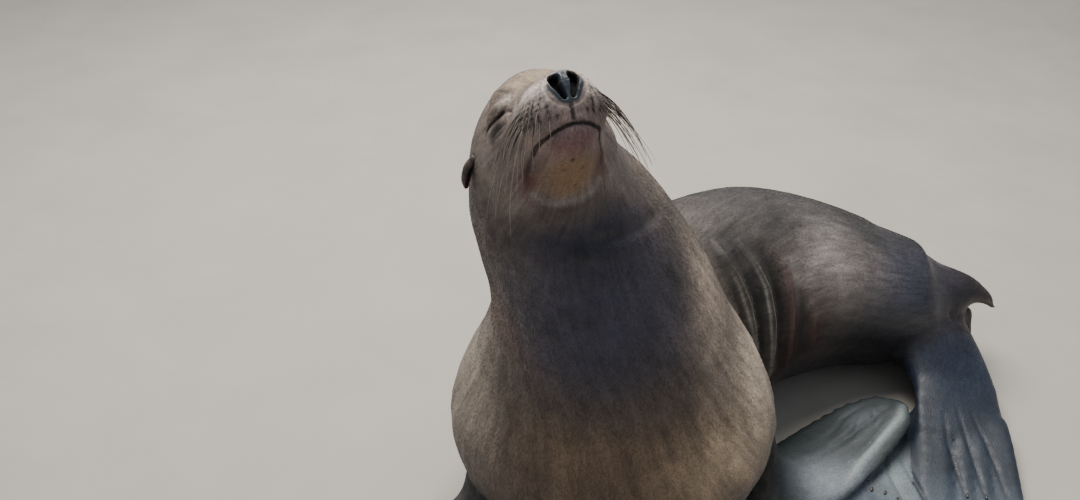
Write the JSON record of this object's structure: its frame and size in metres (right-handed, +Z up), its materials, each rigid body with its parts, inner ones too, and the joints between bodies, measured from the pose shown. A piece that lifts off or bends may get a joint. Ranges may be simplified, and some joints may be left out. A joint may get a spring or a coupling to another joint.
{
  "type": "sea lion",
  "caption": "Life-size still model of a sea lion sitting up with its nose raised, hindquarters curled round to its left and flippers spread on the floor.",
  "frame": {"origin": "on the floor, under the middle of the whole's bounding box", "axes": "+Z up, -Y the way the chest faces, +X to the animal's left, where its tail lies"},
  "size_m": [1.2738, 0.8132, 0.8586],
  "materials": {
    "face": "short flat fur, brown, dry",
    "chin": "short flat fur, tan, dry",
    "throat": "short flat fur, dark brown, damp",
    "breast": "short flat fur, brown, dry",
    "side": "short flat fur, grey-brown, damp sheen",
    "rump": "short flat fur, near black, wet sheen",
    "flipper": "bare wrinkled skin, slate grey, wet",
    "nose": "bare skin, blue-black, wet",
    "eye": "wet, glossy, near black",
    "claw": "smooth horn, dark"
  },
  "bodies": {
    "root": {"head": "face", "lower_jaw": "chin", "neck": "throat", "chest": "breast", "flank": "side", "rump": "rump", "tail": "rump", "nose": "nose", "eye_left": "eye", "eye_right": "eye", "ear_left": "face", "ear_right": "face", "forearm_left": "rump", "fore_flipper_left": "flipper", "forearm_right": "rump", "fore_flipper_right": "flipper", "hind_leg_left": "rump", "hind_flipper_left": "flipper", "hind_leg_right": "rump", "hind_flipper_right": "flipper", "claw_left_2": "claw", "claw_left_3": "claw", "claw_left_4": "claw", "claw_right_2": "claw", "claw_right_3": "claw", "claw_right_4": "claw"}
  },
  "joints": []
}
